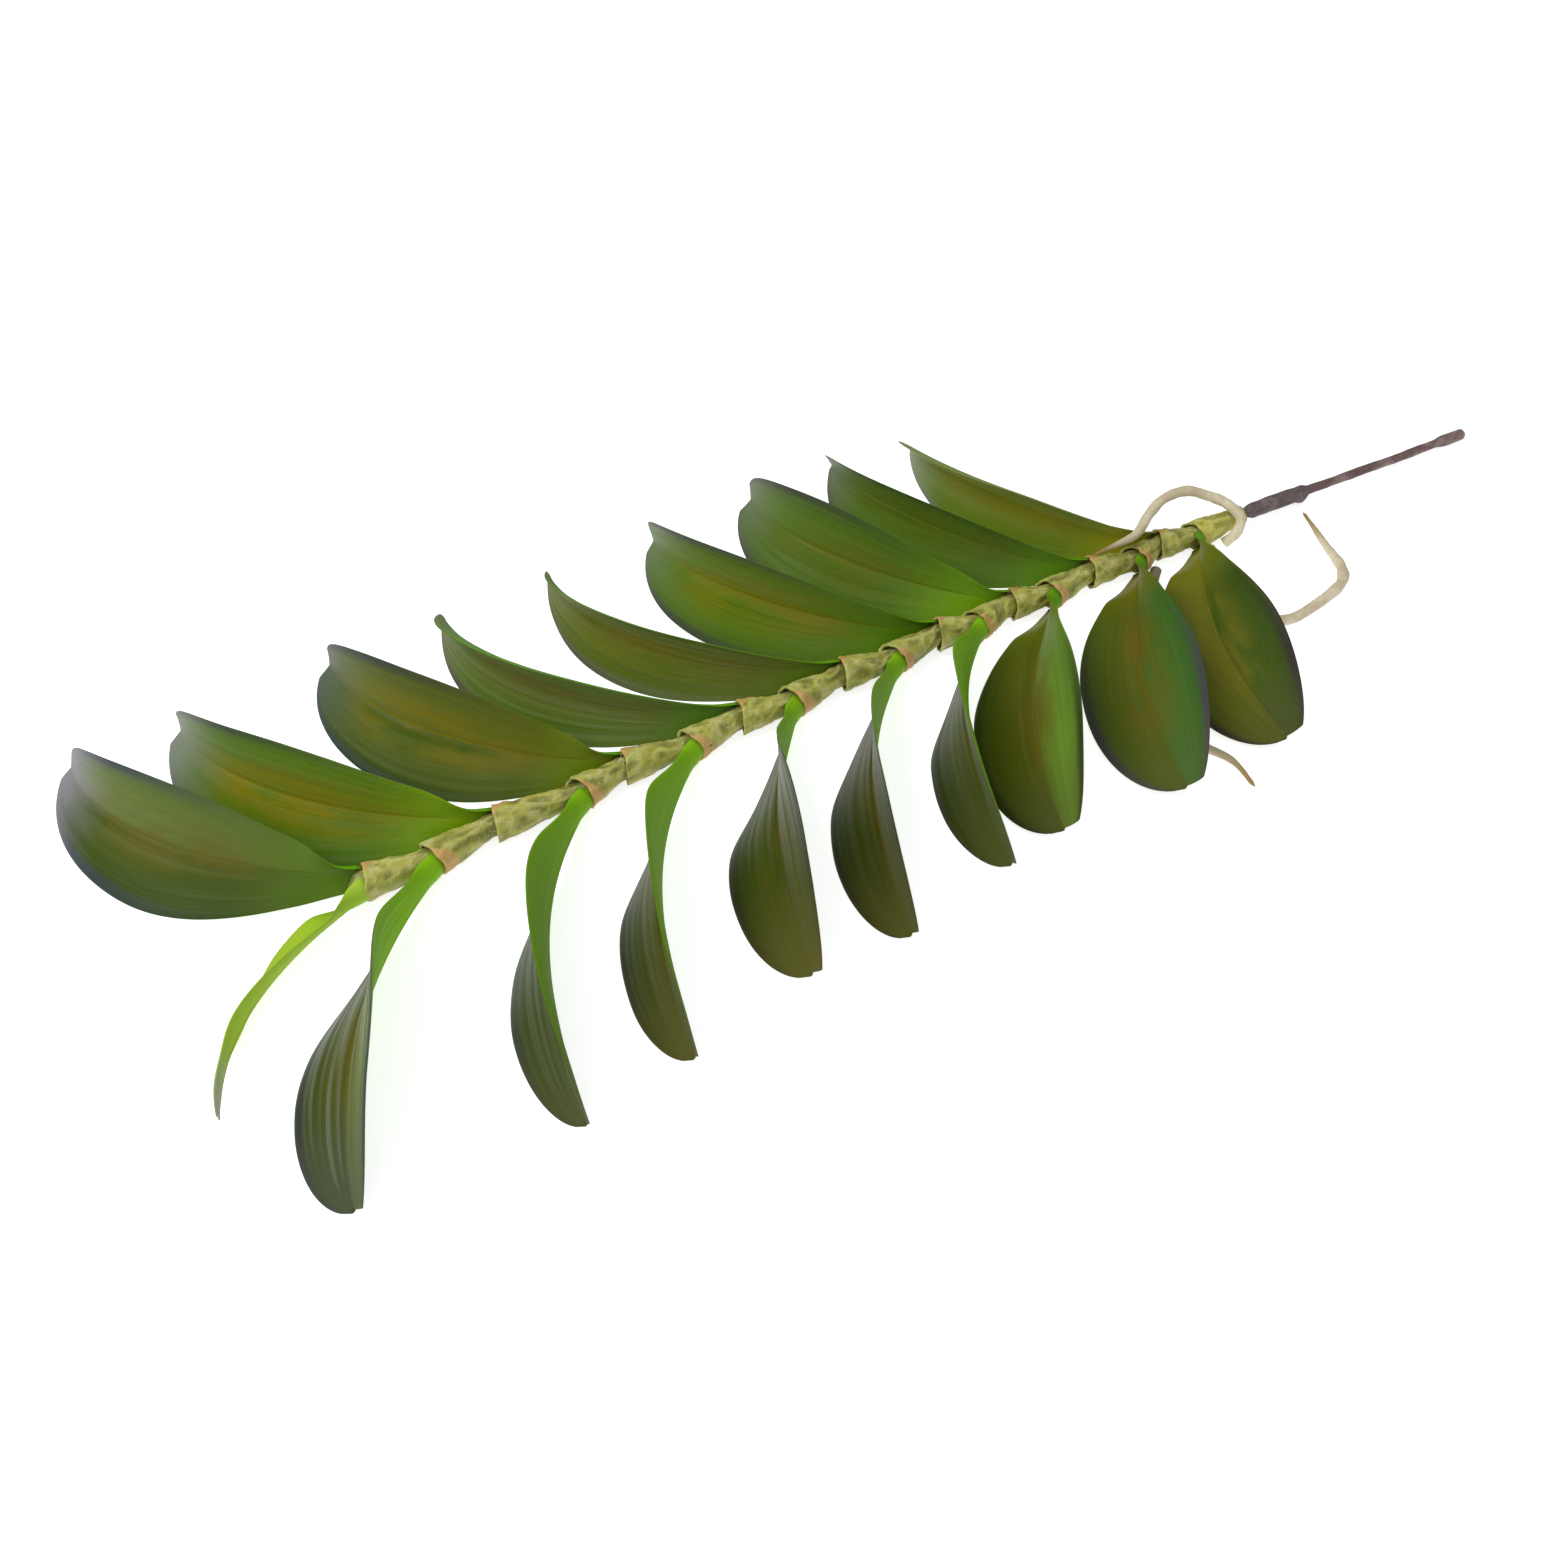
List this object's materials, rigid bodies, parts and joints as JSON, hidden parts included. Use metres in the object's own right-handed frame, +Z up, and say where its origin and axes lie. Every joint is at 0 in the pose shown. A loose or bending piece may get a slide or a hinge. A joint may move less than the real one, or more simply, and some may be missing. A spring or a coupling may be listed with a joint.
{
  "type": "cut stem of a leafy orchid",
  "caption": "Cut leafy orchid stem lying on its side: strap leaves in two ranks along a sheathed stem, aerial roots and a bare woody cut end.",
  "frame": {"origin": "middle of the outline's footprint, on the surface the stem lies on", "axes": "+X along the stem from the growing tip to the cut end, +Z up from the surface, +Y towards the rank of leaves that ends with leaf_blade_17"},
  "size_m": [0.691, 0.2666, 0.0532],
  "materials": {
    "leaf": "waxy, semi-gloss, dark olive green with a lighter underside and fine parallel veins",
    "young_leaf": "waxy, semi-gloss, yellow-green with fine parallel veins",
    "sheath": "matte, khaki green and crinkled, with dry tan rims",
    "dry_stem": "rough grey-brown bark",
    "root": "matte cream velamen with brownish tips"
  },
  "bodies": {
    "root": {"leaf_blade_00": "young_leaf", "leaf_blade_01": "leaf", "leaf_blade_02": "leaf", "leaf_blade_03": "leaf", "leaf_blade_04": "leaf", "leaf_blade_05": "leaf", "leaf_blade_06": "leaf", "leaf_blade_07": "leaf", "leaf_blade_08": "leaf", "leaf_blade_09": "leaf", "leaf_blade_10": "leaf", "leaf_blade_11": "leaf", "leaf_blade_12": "leaf", "leaf_blade_13": "leaf", "leaf_blade_14": "leaf", "leaf_blade_15": "leaf", "leaf_blade_16": "leaf", "leaf_blade_17": "leaf", "leaf_blade_18": "leaf", "leaf_sheath_01": "sheath", "leaf_sheath_02": "sheath", "leaf_sheath_03": "sheath", "leaf_sheath_04": "sheath", "leaf_sheath_05": "sheath", "leaf_sheath_06": "sheath", "leaf_sheath_07": "sheath", "leaf_sheath_08": "sheath", "leaf_sheath_09": "sheath", "leaf_sheath_10": "sheath", "leaf_sheath_11": "sheath", "leaf_sheath_12": "sheath", "leaf_sheath_13": "sheath", "leaf_sheath_14": "sheath", "leaf_sheath_15": "sheath", "leaf_sheath_16": "sheath", "leaf_sheath_17": "sheath", "leaf_sheath_18": "sheath", "root_arch": "root", "root_hook": "root", "root_stub": "root", "stem_axis": "dry_stem"}
  },
  "joints": []
}
